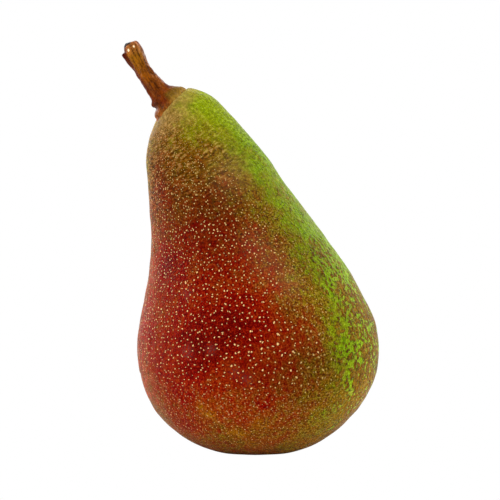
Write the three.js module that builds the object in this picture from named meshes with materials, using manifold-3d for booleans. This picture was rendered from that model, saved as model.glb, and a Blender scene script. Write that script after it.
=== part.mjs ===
// A red-blushed pear standing on the rim round its calyx: the fruit, its woody stem and its dried calyx.
// Millimetres, +Z up. Seen from the front, along +Y, the neck and the stem lean to the left, towards -X.
// The origin is on the ground, under the middle of the whole pear.
import * as THREE from "three";
import { mergeVertices } from "three/addons/utils/BufferGeometryUtils.js";
import Module from "manifold-3d";

const wasm = await Module();
wasm.setup();

// Driving dimensions of the fruit

const FOOT_X = 1.7; // from the origin to the middle of the foot, since the stem reaches out on the left
const CLEARANCE = 0.3; // between the fruit and what is set into it

// The core line runs up from the foot in the X-Z plane and bends to the left. A handle is how far its curve
// keeps the direction that it has at a point, and a lean is in degrees from upright.
const UPRIGHT = 21;
const UPRIGHT_HANDLE = 11.8;
const WAIST = { x: -10.65, z: 66.5, lean: 18.4, below: 13, above: 10.5 };
const TOP = { x: -23.4, z: 94.2, lean: 42, below: 5 };

// The outline gives the fruit's radius along the core line, from the calyx basin up to the rim round the stem.
const BASIN = { depth: 6, floor: 3.5, wall: 3 };
const FOOT = { inner: 7.6, outer: 9.7, handle: 10.7 };
const BELLY = { radius: 33, along: 26.5, below: 14.7, above: 12.5 };
const WAIST_RADIUS = 19.2;
const WAIST_TAPER = 0.26; // radius lost for each millimetre along the core line
const SHOULDER = { radius: 9.8, belowTop: 4.4, taper: 0.75, below: 4.4, above: 0.6 };
const RIM = { radius: 6, handle: 1.2 };
const SEAT = { radius: 5.7, depth: 0.6 }; // where the stem's collar sits inside the rim
const SOCKET = { radius: 3.3, depth: 5 };
const FRONT_LIP = { rise: 0.9, reach: 3, turn: -90 }; // the rim stands higher here, and hides the collar's foot

// Gentle swells that keep the fruit from being a true body of rotation: how far each stands out, how many times
// it repeats round the fruit, where it is highest in degrees from +X, and its place and reach along the core line.
const SWELLS = [
  { size: 0.9, times: 1, turn: 0, along: 26, reach: 8.7 },
  { size: 0.3, times: 1, turn: 180, along: 6.5, reach: 6 },
  { size: 0.3, times: 1, turn: 0, along: 59, reach: 10 },
  { size: 1, times: 1, turn: 0, along: 95, reach: 4 },
  { size: 0.4, times: 3, turn: -90, along: 62, reach: 14 },
  { size: 0.4, times: 5, turn: 18, along: 5, reach: 9 },
];

// Driving dimensions of the stem, with lengths measured from its root

const STEM_TIP = { x: -34.4, y: 1.5, z: 110.9, lean: 12 };
const STEM_HANDLES = { rim: 7.5, tip: 5 };
const STEM_ROOT = 2.85; // its radius in the fruit's socket
const STEM_COLLAR = { radius: 5.25, taper: 0.9, handle: 1.6 }; // its fleshy foot, inside the fruit's rim
const STEM_NECK = { radius: 2.4, share: 0.6, handle: 5.5 }; // a share is of the whole stem's length
const STEM_KNOB = { radius: 2.75, share: 0.86, handle: 2.2 };
const STEM_SCAR = { radius: 1.5, handle: 1.2 }; // where it came away from the twig
const STEM_RIDGES = { count: 6, height: 0.13, twist: 0.05 };

// What stands out on one side of the stem, as for the swells, with its width round the stem in degrees.
const STEM_BUMPS = [
  { size: 0.5, turn: 0, width: 70, share: 0.3, reach: 1.6 }, // the buttress on its right
  { size: 0.5, turn: 185, width: 60, share: 0.37, reach: 1 }, // the knuckle on its left
  { size: 1.1, turn: 190, width: 22, share: 0.82, reach: 0.8 }, // the bud scale under the knob
];

// Driving dimensions of the calyx

const BUTTON = { radius: 3, thickness: 1.2 };
const SEPAL = { count: 5, length: 5.2, width: 2.7, thickness: 0.7, start: 2, tilt: 20, curl: 60 };

// Facets round and along each piece
const FRUIT_SIDES = 60;
const FRUIT_STEP = 2.7; // the longest facet along an outline
const STEM_SIDES = 24;
const STEM_STEP = 1.2;
const CURVE_STEPS = 4; // the fewest on a curve of an outline
const BUTTON_SIDES = 20;
const SEPAL_STEPS = 8;

const radians = THREE.MathUtils.degToRad;
const leaning = (degrees) => new THREE.Vector2(-Math.sin(radians(degrees)), Math.cos(radians(degrees)));
const bell = (distance, reach) => Math.exp(-((distance / reach) ** 2));

// The core line as a path of two curves above its upright start, with x to the right and y up.
function coreLine() {
  const waist = new THREE.Vector2(WAIST.x, WAIST.z);
  const top = new THREE.Vector2(TOP.x, TOP.z);
  const below = waist.clone().addScaledVector(leaning(WAIST.lean), -WAIST.below);
  const above = waist.clone().addScaledVector(leaning(WAIST.lean), WAIST.above);
  const end = top.clone().addScaledVector(leaning(TOP.lean), -TOP.below);
  return new THREE.Path()
    .moveTo(0, 0)
    .lineTo(0, UPRIGHT)
    .bezierCurveTo(0, UPRIGHT + UPRIGHT_HANDLE, below.x, below.y, waist.x, waist.y)
    .bezierCurveTo(above.x, above.y, end.x, end.y, top.x, top.y);
}

const core = coreLine();
const coreLengths = core.getCurveLengths();
const coreLength = coreLengths.at(-1);
const waistAlong = coreLengths[1];

// The fruit's outline, with x the radius and y the length along the core line.
function fruitOutline() {
  const shoulderAlong = coreLength - SHOULDER.belowTop;
  const socketFloor = coreLength - SOCKET.depth;
  return new THREE.Path()
    .moveTo(0, BASIN.depth)
    .lineTo(BASIN.floor, BASIN.depth)
    .bezierCurveTo(BASIN.floor + BASIN.wall, BASIN.depth, FOOT.inner - 1, 0, FOOT.inner, 0)
    .lineTo(FOOT.outer, 0)
    .bezierCurveTo(
      ...[FOOT.outer + FOOT.handle, 0],
      ...[BELLY.radius, BELLY.along - BELLY.below],
      ...[BELLY.radius, BELLY.along],
    )
    .bezierCurveTo(
      ...[BELLY.radius, BELLY.along + BELLY.above],
      ...[WAIST_RADIUS + WAIST_TAPER * BELLY.above, waistAlong - BELLY.above],
      ...[WAIST_RADIUS, waistAlong],
    )
    .bezierCurveTo(
      ...[WAIST_RADIUS - WAIST_TAPER * WAIST.above, waistAlong + WAIST.above],
      ...[SHOULDER.radius + SHOULDER.taper * SHOULDER.below, shoulderAlong - SHOULDER.below],
      ...[SHOULDER.radius, shoulderAlong],
    )
    .bezierCurveTo(
      ...[SHOULDER.radius - SHOULDER.taper * SHOULDER.above, shoulderAlong + SHOULDER.above],
      ...[RIM.radius + RIM.handle, coreLength],
      ...[RIM.radius, coreLength],
    )
    .quadraticCurveTo(SEAT.radius, coreLength, SEAT.radius, coreLength - SEAT.depth)
    .lineTo(SOCKET.radius, coreLength - SEAT.depth)
    .lineTo(SOCKET.radius, socketFloor)
    .lineTo(0, socketFloor);
}

// Points along an outline: the ends of its straight lines, and evenly spaced ones on its curves.
function sampled(outline, step) {
  const points = outline.curves.flatMap((curve) => {
    const steps = curve.isLineCurve ? 1 : Math.max(CURVE_STEPS, Math.ceil(curve.getLength() / step));
    return curve.getSpacedPoints(steps).slice(0, -1);
  });
  return [...points, outline.currentPoint];
}

// A body of rotation for an outline, with its axis along Z, as one closed surface.
function turned(outline, step, sides) {
  const geometry = new THREE.LatheGeometry(sampled(outline, step), sides);
  geometry.rotateX(Math.PI / 2);
  geometry.deleteAttribute("normal");
  geometry.deleteAttribute("uv");
  return mergeVertices(geometry);
}

// Moves each vertex of a body of rotation: place(radius, turn, along) gives its point.
function bent(geometry, place) {
  const positions = geometry.getAttribute("position");
  const vertex = new THREE.Vector3();
  for (let i = 0; i < positions.count; i++) {
    vertex.fromBufferAttribute(positions, i);
    const point = place(Math.hypot(vertex.x, vertex.y), Math.atan2(vertex.y, vertex.x), vertex.z);
    positions.setXYZ(i, point.x, point.y, point.z);
  }
  return geometry;
}

// How far the fruit's swells stand out at a turn round the core line and a length along it.
function swell(turn, along) {
  return SWELLS.reduce(
    (sum, s) => sum + s.size * Math.cos(s.times * (turn - radians(s.turn))) * bell(along - s.along, s.reach),
    0,
  );
}

// How far the rim's front lip rises there.
function lip(radius, turn, along) {
  const facing = Math.max(0, Math.cos(turn - radians(FRONT_LIP.turn)));
  const outside = THREE.MathUtils.smoothstep(radius, SEAT.radius, RIM.radius);
  return FRONT_LIP.rise * facing ** 2 * outside * bell(coreLength - along, FRONT_LIP.reach);
}

// A point of the fruit's surface. The swells grow from nothing in the socket to their full size at the foot's edge.
function fruitPoint(radius, turn, along) {
  const share = THREE.MathUtils.clamp(along / coreLength, 0, 1);
  const centre = core.getPoint(share);
  const tangent = core.getTangent(share);
  const wide = radius + swell(turn, along) * THREE.MathUtils.smoothstep(radius, SOCKET.radius, FOOT.outer);
  const across = wide * Math.cos(turn);
  const raised = lip(radius, turn, along);
  return new THREE.Vector3(
    FOOT_X + centre.x + across * tangent.y + raised * tangent.x,
    wide * Math.sin(turn),
    centre.y - across * tangent.x + raised * tangent.y,
  );
}

function fruitGeometry() {
  return bent(turned(fruitOutline(), FRUIT_STEP, FRUIT_SIDES), fruitPoint);
}

// The stem's line: from its root along the fruit's core line to the rim, and on to its tip.
function stemLine() {
  const top = new THREE.Vector2(TOP.x, TOP.z);
  const inSocket = SOCKET.depth - CLEARANCE;
  const root = core.getPoint(1 - inSocket / coreLength);
  const middle = top.clone().addScaledVector(leaning(TOP.lean), -inSocket / 2);
  const above = top.clone().addScaledVector(leaning(TOP.lean), STEM_HANDLES.rim);
  const tip = new THREE.Vector2(STEM_TIP.x, STEM_TIP.z);
  const below = tip.clone().addScaledVector(leaning(STEM_TIP.lean), -STEM_HANDLES.tip);
  const at = (point, y) => new THREE.Vector3(FOOT_X + point.x, y, point.y);
  const line = new THREE.CurvePath();
  line.add(new THREE.QuadraticBezierCurve3(at(root, 0), at(middle, 0), at(top, 0)));
  line.add(new THREE.CubicBezierCurve3(at(top, 0), at(above, 0), at(below, STEM_TIP.y), at(tip, STEM_TIP.y)));
  return line;
}

const stem = stemLine();
const stemLength = stem.getLength();
const collarAlong = SOCKET.depth - SEAT.depth; // the collar's underside, clear of its seat in the fruit

// The stem's outline, with x the radius and y the length from its root.
function stemOutline() {
  const neck = STEM_NECK.share * stemLength;
  const knob = STEM_KNOB.share * stemLength;
  return new THREE.Path()
    .moveTo(0, 0)
    .lineTo(STEM_ROOT, 0)
    .lineTo(STEM_ROOT, collarAlong)
    .lineTo(STEM_COLLAR.radius, collarAlong)
    .bezierCurveTo(
      ...[STEM_COLLAR.radius - STEM_COLLAR.taper * STEM_COLLAR.handle, collarAlong + STEM_COLLAR.handle],
      ...[STEM_NECK.radius, neck - STEM_NECK.handle],
      ...[STEM_NECK.radius, neck],
    )
    .bezierCurveTo(
      ...[STEM_NECK.radius, neck + STEM_KNOB.handle],
      ...[STEM_KNOB.radius, knob - STEM_KNOB.handle],
      ...[STEM_KNOB.radius, knob],
    )
    .bezierCurveTo(
      ...[STEM_KNOB.radius, knob + STEM_KNOB.handle],
      ...[STEM_SCAR.radius + STEM_SCAR.handle, stemLength],
      ...[STEM_SCAR.radius, stemLength],
    )
    .lineTo(0, stemLength);
}

// How far the stem's ridges and bumps stand out above its collar.
function stemRelief(turn, along) {
  const { count, height, twist } = STEM_RIDGES;
  const ridge = height * Math.cos(count * (turn + twist * along));
  return STEM_BUMPS.reduce((sum, b) => {
    const away = Math.atan2(Math.sin(turn - radians(b.turn)), Math.cos(turn - radians(b.turn)));
    return sum + b.size * bell(away, radians(b.width)) * bell(along - b.share * stemLength, b.reach);
  }, ridge);
}

// A point of the stem's surface: its sections stand square to its line, with turn 0 towards +X.
function stemPoint(radius, turn, along) {
  const share = THREE.MathUtils.clamp(along / stemLength, 0, 1);
  const centre = stem.getPoint(share);
  const tangent = stem.getTangent(share);
  const back = new THREE.Vector3(0, 1, 0).addScaledVector(tangent, -tangent.y).normalize();
  const right = back.clone().cross(tangent);
  const free = along > collarAlong + CLEARANCE ? Math.min(1, radius / STEM_SCAR.radius) : 0;
  const wide = radius + free * stemRelief(turn, along);
  return centre.addScaledVector(right, wide * Math.cos(turn)).addScaledVector(back, wide * Math.sin(turn));
}

function stemGeometry() {
  return bent(turned(stemOutline(), STEM_STEP, STEM_SIDES), stemPoint);
}

// A closed geometry as a solid that can be joined to others, and back.
function solidOf(geometry) {
  const bare = geometry.clone();
  bare.deleteAttribute("normal");
  bare.deleteAttribute("uv");
  const merged = mergeVertices(bare);
  return new wasm.Manifold(
    new wasm.Mesh({
      numProp: 3,
      vertProperties: merged.getAttribute("position").array,
      triVerts: new Uint32Array(merged.index.array),
    }),
  );
}

function geometryOf(solid) {
  const mesh = solid.getMesh();
  return new THREE.BufferGeometry()
    .setAttribute("position", new THREE.BufferAttribute(mesh.vertProperties, 3))
    .setIndex(new THREE.BufferAttribute(mesh.triVerts, 1));
}

// One dried sepal: a pointed blade that starts on the button and curls outwards as it comes down.
function sepalGeometry(startZ) {
  const { length, width, thickness, start, tilt, curl } = SEPAL;
  const blade = new THREE.BoxGeometry(length, width, thickness, SEPAL_STEPS, 2, 1);
  const bendRadius = length / radians(curl);
  const positions = blade.getAttribute("position");
  for (let i = 0; i < positions.count; i++) {
    const along = positions.getX(i) / length + 0.5;
    const angle = radians(tilt + curl * along);
    const level = bendRadius - positions.getZ(i);
    const narrowed = positions.getY(i) * (1 - 0.85 * along ** 1.5);
    const out = start + bendRadius * Math.cos(radians(tilt)) - level * Math.cos(angle);
    const down = level * Math.sin(angle) - bendRadius * Math.sin(radians(tilt));
    positions.setXYZ(i, out, narrowed, startZ - down);
  }
  return blade;
}

// The calyx: its sepals fused to the button that they grow from, hung under the basin's floor.
function calyxGeometry() {
  const top = BASIN.depth - CLEARANCE;
  const foot = top - BUTTON.thickness;
  const button = new THREE.CylinderGeometry(BUTTON.radius, BUTTON.radius, BUTTON.thickness, BUTTON_SIDES);
  button.rotateX(Math.PI / 2).translate(0, 0, (top + foot) / 2);
  let calyx = solidOf(button);
  for (let i = 0; i < SEPAL.count; i++) {
    const sepal = sepalGeometry(top - BUTTON.thickness / 2).rotateZ((i * 2 * Math.PI) / SEPAL.count);
    calyx = calyx.add(solidOf(sepal));
  }
  return geometryOf(calyx).translate(FOOT_X, 0, 0);
}

function piece(name, geometry, colour, roughness) {
  const material = new THREE.MeshStandardMaterial({ color: colour, roughness, metalness: 0 });
  const mesh = new THREE.Mesh(geometry, material);
  mesh.name = name;
  return mesh;
}

const pear = new THREE.Group();
pear.add(piece("fruit", fruitGeometry(), 0x8a2f12, 0.45));
pear.add(piece("stem", stemGeometry(), 0x7f4312, 0.5));
pear.add(piece("calyx", calyxGeometry(), 0x3d2918, 0.85));

export default pear;
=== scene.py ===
"""A red-blushed pear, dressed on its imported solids: fine meshes of the fruit, the stem and the calyx.

Shapes are worked out in millimetres, in the part's own frame, and made in metres. A turn is an angle round a
piece: 0 is its right, towards +X, -90 degrees its photographed front and 180 degrees its left.
"""

from types import SimpleNamespace

import bpy
import numpy as np
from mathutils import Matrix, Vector

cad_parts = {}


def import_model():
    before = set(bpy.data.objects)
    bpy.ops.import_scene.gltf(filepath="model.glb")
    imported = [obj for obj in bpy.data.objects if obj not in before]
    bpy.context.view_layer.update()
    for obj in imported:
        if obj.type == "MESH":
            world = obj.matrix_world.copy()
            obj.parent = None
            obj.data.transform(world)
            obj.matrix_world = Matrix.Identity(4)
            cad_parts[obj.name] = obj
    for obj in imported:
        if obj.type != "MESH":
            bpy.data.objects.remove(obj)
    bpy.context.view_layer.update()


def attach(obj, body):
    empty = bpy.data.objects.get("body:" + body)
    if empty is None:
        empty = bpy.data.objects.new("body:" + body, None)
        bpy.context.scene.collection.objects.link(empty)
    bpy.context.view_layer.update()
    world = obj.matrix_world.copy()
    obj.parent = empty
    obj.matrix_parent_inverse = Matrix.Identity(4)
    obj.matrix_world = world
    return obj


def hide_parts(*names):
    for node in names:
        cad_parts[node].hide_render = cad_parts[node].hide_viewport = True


MM = 0.001

# The fruit's core line and outline, in millimetres and degrees

FOOT_X = 1.7
UPRIGHT = 21
UPRIGHT_HANDLE = 11.8
WAIST = {"x": -10.65, "z": 66.5, "lean": 18.4, "below": 13, "above": 10.5}
TOP = {"x": -23.4, "z": 94.2, "lean": 42, "below": 5}
BASIN = {"depth": 6, "floor": 3.5, "wall": 3}
FOOT = {"inner": 7.6, "outer": 9.7, "handle": 10.7}
BELLY = {"radius": 33, "along": 26.5, "below": 14.7, "above": 12.5}
WAIST_RADIUS = 19.2
WAIST_TAPER = 0.26
SHOULDER = {"radius": 9.8, "below_top": 4.4, "taper": 0.75, "below": 4.4, "above": 0.6}
RIM = {"radius": 6, "handle": 1.2}
SEAT = {"radius": 4.9, "depth": 1.6}
POLE_RADIUS = 0.3  # the first and the last ring
RIM_LIFTS = [(0.1, -90), (0.1, 0), (-1.0, -150)]  # how far the rim rises, and its turn there
RIM_LIFT_REACH = 3
DENT = {"size": 1.1, "turn": 180, "width": 55, "reach": 2.6}  # the rim is narrower on its left

# Each swell's size, times round the fruit, turn where it is highest, place along the core line and reach
SWELLS = [
    (0.9, 1, 0, 26, 8.7),
    (0.3, 1, 180, 6.5, 6),
    (0.3, 1, 0, 59, 10),
    (1.0, 1, 0, 95, 4),
    (0.4, 3, -90, 62, 14),
    (0.4, 5, 18, 5, 9),
    (0.14, 13, 0, 98, 2.5),
    (0.12, 11, 40, 0, 4),
]
SWELL_START = 3.3  # nearer the core line than this, the swells fade out
SKIN_WAVES = [(0.1, 13, 3), (0.04, 4.5, 4)]  # finer unevenness: each kind's height, length and seed

# The stem

STEM_TIP = {"x": -33.9, "y": 1.5, "z": 110.9, "lean": 12}
STEM_HANDLES = {"rim": 7.5, "tip": 5}
STEM_ROOT = 4.7  # how far below the fruit's rim its line starts

# The stem's radius at some heights above the rim, in millimetres
STEM_FOOT = {"radius": 6.3, "above": -2.4}
STEM_FLARE = {"radius": 2.8, "above": 4.6}
STEM_NECK = {"radius": 2.15, "above": 12.5}
STEM_KNOB = {"radius": 2.5, "above": 16.6}
STEM_CAP = {"radius": 1.2, "above": 20.2}

# Each bump's size, turn, width round the stem in degrees, height above the rim and reach along it
STEM_BUMPS = [
    (1.6, 6, 58, 1.2, 2.4),
    (0.75, 185, 48, 2.9, 0.95),
    (0.8, 195, 50, 0.3, 0.8),
    (-0.4, 188, 40, 1.6, 0.5),
    (0.22, -60, 35, 6, 2),
    (0.2, -100, 26, 16, 1.5),
]

# Each set of ridges' height, count round the stem, twist in radians a millimetre, and start
STEM_RIDGES = [(0.09, 5, 0.05, 0), (0.05, 9, -0.04, 1)]
STEM_WAVES = {"height": 0.07, "length": 1.6, "seed": 7}
STEM_FLAKE = {"size": 0.9, "turn": 192, "width": 17, "from": 12.8, "tip": 17.6, "end": 18.1}
STEM_SCAR = {"turn": 200, "reach": 1.9}  # the dark end, where it came away from the twig
# Painted highlights: the pale nicks are two glints painted near the stem's end
STEM_GLINTS = [(-116, 18.2, 0.42), (-74, 18.7, 0.36)]  # pale nicks: turn, height above the rim and reach

# The calyx: its button, its sepals and the dried threads among them

BUTTON = {"radius": 3, "top": 5.7, "foot": 4.5}
SEPAL = {"count": 5, "length": 5.2, "width": 2.9, "thickness": 0.6, "start": 2, "tilt": 20, "curl": 60}
THREADS = {"count": 22, "ring": 1.5, "length": 2.6, "radius": 0.11, "head": 0.26}
CALYX_SEED = 5

# Patches of the skin: degrees to the right of the front, millimetres along the core line, reach and amount

REDDER = [
    (-6, 38, 14, 0.12),
    (2, 62, 9, 0.1),
    (-48, 82, 8, 0.06),
    (-30, 20, 10, 0.08),
    (66, 16, 12, 0.12),
    (57, 54, 7, 0.08),
    (-20, 36, 7, 0.1),
    (-20, 62, 7, 0.07),
    (0, 80, 6, 0.06),
    (20, 18, 6, 0.06),
    (40, 86, 8, 0.08),
    (60, 64, 14, 0.05),
    (-42, 60, 9, 0.1),
    (-8, 62, 8, 0.06),
]
GREENER = [
    (-22, 82, 8, 0.1),
    (62, 90, 12, 0.15),
    (46, 25, 8, 0.16),
    (-40, 38, 14, 0.12),
    (-22, 54, 7, 0.12),
    (22, 26, 6, 0.1),
    (0, 54, 6, 0.05),
]
# Darker patches, which join the painted shade: partly painted shade, partly darker skin
DARKER = [
    (-10, 37, 10, 0.2),
    (22, 27, 9, 0.38),
    (40, 26, 7, 0.2),
    (2, 24, 7, 0.2),
    (22, 38, 6, 0.12),
    (20, 18, 6, 0.12),
    (0, 71, 7, 0.12),
    (-22, 98, 6, 0.18),
    (-20, 36, 6, 0.08),
    (62, 88, 9, 0.1),
    (58, 49, 9, 0.12),
    (-46, 82, 10, 0.14),
    (46, 54, 12, 0.15),
    (49, 36, 6, 0.15),
    (60, 64, 16, 0.05),
    (0, 59, 8, 0.1),
]
# Painted light: lighter patches low on the right edge, where light bounces up from the floor, and on the
# top's right
PAINTED_LIGHT = [
    (64, 16, 9, 0.28),
    (26, 93, 8, 0.08),
]
GOLDEN = [
    (-27, 16.6, 1.8, 0.8),
    (-23, 14.6, 1.5, 0.8),
    (-14, 9.5, 1.6, 0.6),
    (-8, 9, 1.4, 0.6),
    (3, 12.5, 2, 0.8),
    (0, 6, 2, 0.5),
]
SCUFFS = [
    (-32, 34.4, 1.5, 0.6),
    (-19, 34.6, 1.2, 0.5),
    (-9, 27.5, 1.4, 0.28),
    (-4, 25, 1.4, 0.28),
    (-31, 50, 1.4, 0.4),
]
# Painted reflections: faint pale veils where a soft light shows on the skin
REFLECTION_PATCHES = [
    (19, 58, 4, 0.06),
    (23, 52, 4.5, 0.07),
    (29, 46, 4, 0.08),
    (28, 76, 6, 0.1),
]
BRUISES = [
    (80, 22.2, 1.3, 0.9),
    (51, 45, 0.7, 0.8),
    (150, 40, 1.5, 0.7),
    (-140, 30, 1.2, 0.6),
]

# The blush peaks at this height, and fades to these amounts within these reaches
BLUSH = {"height": 38, "peak": 0.9, "foot": 0.54, "neck": 0.36, "below": 20, "above": 35}

# The lenticels, in millimetres on the belly: the cells that hold one each, and their radius
BOLD_SPECKS = {"cell": 1.72, "radius": 0.19}
FINE_SPECKS = {"cell": 1.55, "radius": 0.21}
SPECK_SHAKE = {"size": 1.2, "amount": 0.45}  # what makes them less than round

# The meshes: points round each ring, and millimetres from ring to ring
SIDES = {"fruit": 360, "stem": 96}
STEP = {"fruit": 0.55, "stem": 0.2}
BAKE_MARGIN = {"across": 0.005, "along": 0.01}
NARROWEST = 0.2  # rings below this share of the widest are stretched no further on the map for specks
COIL = {"fruit": 30, "stem": 3}  # the radius of the cylinder on which each piece's streaks are laid out
SEAM_FADE = {"from": 28.5, "to": 29.8}  # how far back on that cylinder the fruit's two maps for specks meet

# The photograph's view, in millimetres and degrees
CAMERA = {"distance": 600, "elevation": 8, "above": 50, "lens": 158.4, "sensor": 36}
AIM = (-0.01, 0, 54.48)

# The studio, in metres and watts: each softbox's name, place, aim, size and power
FLOOR_REACH = 6.0
SOFTBOXES = [
    ("rim_softbox", (0.5, 0.3, 0.3), (0, 0, 0.05), 0.08, 0.7),
    ("key_softbox", (-0.45, -0.5, 0.75), (-0.03, 0, 0.1), 0.12, 0.65),
]


def bell(distance, reach):
    return np.exp(-((distance / reach) ** 2))


def smoothstep(low, high, value):
    share = np.clip((value - low) / (high - low), 0, 1)
    return share * share * (3 - 2 * share)


def leaning(degrees):
    angle = np.radians(degrees)
    return np.array([-np.sin(angle), np.cos(angle)])


def bezier(*points, count=400):
    """Points on the Bezier curve with these two, three or four control points."""
    share = np.linspace(0, 1, count + 1)[:, None]
    level = [np.array(p, float) for p in points]
    while len(level) > 1:
        level = [a + (b - a) * share for a, b in zip(level, level[1:])]
    return level[0]


def chain(*curves):
    """Curves that follow one another, as one run of points."""
    return np.concatenate([curves[0]] + [c[1:] for c in curves[1:]])


class Line:
    """A run of points that is read by the length along it."""

    def __init__(self, points):
        self.points = points
        steps = np.linalg.norm(np.diff(points, axis=0), axis=1)
        self.lengths = np.concatenate([[0], np.cumsum(steps)])
        self.total = self.lengths[-1]

    def at(self, along):
        along = np.clip(along, 0, self.total)
        return np.stack([np.interp(along, self.lengths, column) for column in self.points.T], -1)

    def evenly(self, step):
        """Points about this far apart, from end to end."""
        return self.at(np.linspace(0, self.total, int(self.total / step)))

    def tangent(self, along, reach=0.15):
        along = np.clip(along, reach, self.total - reach)
        ahead = self.at(along + reach) - self.at(along - reach)
        return ahead / np.linalg.norm(ahead, axis=-1, keepdims=True)


def core_line():
    waist = np.array([WAIST["x"], WAIST["z"]])
    top = np.array([TOP["x"], TOP["z"]])
    start = np.array([0, UPRIGHT])
    below = waist - leaning(WAIST["lean"]) * WAIST["below"]
    above = waist + leaning(WAIST["lean"]) * WAIST["above"]
    end = top - leaning(TOP["lean"]) * TOP["below"]
    bend = bezier(start, start + [0, UPRIGHT_HANDLE], below, waist)
    line = Line(chain(bezier([0, 0], start), bend, bezier(waist, above, end, top)))
    waist_along = UPRIGHT + Line(bend).total
    return line, waist_along


CORE, WAIST_ALONG = core_line()


def fruit_outline():
    """The fruit's radius and length along its core line, from the basin's middle up to the stem's seat."""
    top = CORE.total
    shoulder = top - SHOULDER["below_top"]
    floor = BASIN["floor"]
    belly = [BELLY["radius"], BELLY["along"]]
    waist = [WAIST_RADIUS, WAIST_ALONG]
    neck = [SHOULDER["radius"], shoulder]
    return chain(
        bezier([POLE_RADIUS, BASIN["depth"]], [floor, BASIN["depth"]]),
        bezier(
            [floor, BASIN["depth"]],
            [floor + BASIN["wall"], BASIN["depth"]],
            [FOOT["inner"] - 1, 0],
            [FOOT["inner"], 0],
        ),
        bezier([FOOT["inner"], 0], [FOOT["outer"], 0]),
        bezier(
            [FOOT["outer"], 0],
            [FOOT["outer"] + FOOT["handle"], 0],
            [belly[0], belly[1] - BELLY["below"]],
            belly,
        ),
        bezier(
            belly,
            [belly[0], belly[1] + BELLY["above"]],
            [WAIST_RADIUS + WAIST_TAPER * BELLY["above"], WAIST_ALONG - BELLY["above"]],
            waist,
        ),
        bezier(
            waist,
            [WAIST_RADIUS - WAIST_TAPER * WAIST["above"], WAIST_ALONG + WAIST["above"]],
            [neck[0] + SHOULDER["taper"] * SHOULDER["below"], shoulder - SHOULDER["below"]],
            neck,
        ),
        bezier(
            neck,
            [neck[0] - SHOULDER["taper"] * SHOULDER["above"], shoulder + SHOULDER["above"]],
            [RIM["radius"] + RIM["handle"], top],
            [RIM["radius"], top],
        ),
        bezier([RIM["radius"], top], [SEAT["radius"], top], [SEAT["radius"], top - SEAT["depth"]]),
        bezier([SEAT["radius"], top - SEAT["depth"]], [POLE_RADIUS, top - SEAT["depth"]]),
    )


def waves(points, length, seed, count=14):
    """Smooth, seeded unevenness between about -1 and 1, with humps about this long."""
    rng = np.random.default_rng(seed)
    directions = rng.normal(size=(count, 3))
    directions /= np.linalg.norm(directions, axis=1, keepdims=True)
    lengths = length * rng.uniform(0.7, 1.6, count)
    phases = rng.uniform(0, 2 * np.pi, count)
    total = np.zeros(points.shape[:-1])
    for direction, size, phase in zip(directions, lengths, phases):
        total += np.sin(points @ direction * (2 * np.pi / size) + phase)
    return total / np.sqrt(count)


def outward(points):
    """Unit normals of a grid of points that closes round its second side."""
    round_it = np.roll(points, -1, axis=1) - np.roll(points, 1, axis=1)
    along_it = np.gradient(points, axis=0)
    normal = np.cross(round_it, along_it)
    return normal / np.maximum(np.linalg.norm(normal, axis=-1, keepdims=True), 1e-9)


def rings_mesh(name, grids, fields):
    """A smooth mesh of closed skins. Each has rings, a point at each end, and named values at its points."""
    vertices = []
    faces = []
    for points in grids:
        rows, sides, _ = points.shape
        start = sum(len(part) for part in vertices)
        vertices.append(np.concatenate([points.reshape(-1, 3), [points[0].mean(0), points[-1].mean(0)]]))
        here = np.arange(sides)
        after = (here + 1) % sides
        top = (rows - 1) * sides
        for low in range(0, top, sides):
            high = low + sides
            faces += (start + np.stack([low + here, low + after, high + after, high + here], 1)).tolist()
        faces += (start + np.stack([np.full(sides, rows * sides), after, here], 1)).tolist()
        faces += (start + np.stack([np.full(sides, rows * sides + 1), top + here, top + after], 1)).tolist()
    mesh = bpy.data.meshes.new(name)
    mesh.from_pydata((np.concatenate(vertices) * MM).tolist(), [], faces)
    mesh.polygons.foreach_set("use_smooth", np.ones(len(faces), bool))
    for field, parts in fields.items():
        values = np.concatenate([with_ends(part) for part in parts])
        kind, key = ("FLOAT", "value") if values.shape[1] == 1 else ("FLOAT_VECTOR", "vector")
        mesh.attributes.new(field, kind, "POINT").data.foreach_set(key, values.astype(np.float32).ravel())
    piece = bpy.data.objects.new(name, mesh)
    bpy.context.scene.collection.objects.link(piece)
    return piece


def with_ends(values):
    """A grid's values in the order of its vertices, the two end points last."""
    rows, sides = values.shape[:2]
    ends = [values[0].mean(0).reshape(1, -1), values[-1].mean(0).reshape(1, -1)]
    return np.concatenate([values.reshape(rows * sides, -1), *ends])


def grid_mesh(name, points, fields):
    """A mesh of one such skin, with its maps."""
    piece = rings_mesh(name, [points], {field: [values] for field, values in fields.items()})
    add_maps(piece.data, points)
    return piece


def unrolled(mesh, rows, sides):
    """Each face corner's share of the way round from the seam, and its row, counted from one end."""
    corner = np.zeros(len(mesh.loops), int)
    mesh.loops.foreach_get("vertex_index", corner)
    face_size = np.zeros(len(mesh.polygons), int)
    mesh.polygons.foreach_get("loop_total", face_size)
    face = np.repeat(np.arange(len(face_size)), face_size)
    side = corner % sides
    inner = corner < rows * sides
    low = np.full(len(face_size), sides)
    np.minimum.at(low, face[inner], side[inner])
    high = np.zeros(len(face_size), int)
    np.maximum.at(high, face[inner], side[inner])
    wraps = high - low > 1
    middle = np.where(wraps, sides - 0.5, (low + high) / 2)
    across = np.where(inner, np.where(wraps[face] & (side == 0), sides, side), middle[face]) / sides
    row = np.where(inner, 1 + corner // sides, np.where(corner == rows * sides, 0, rows + 1))
    return across, row


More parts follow.
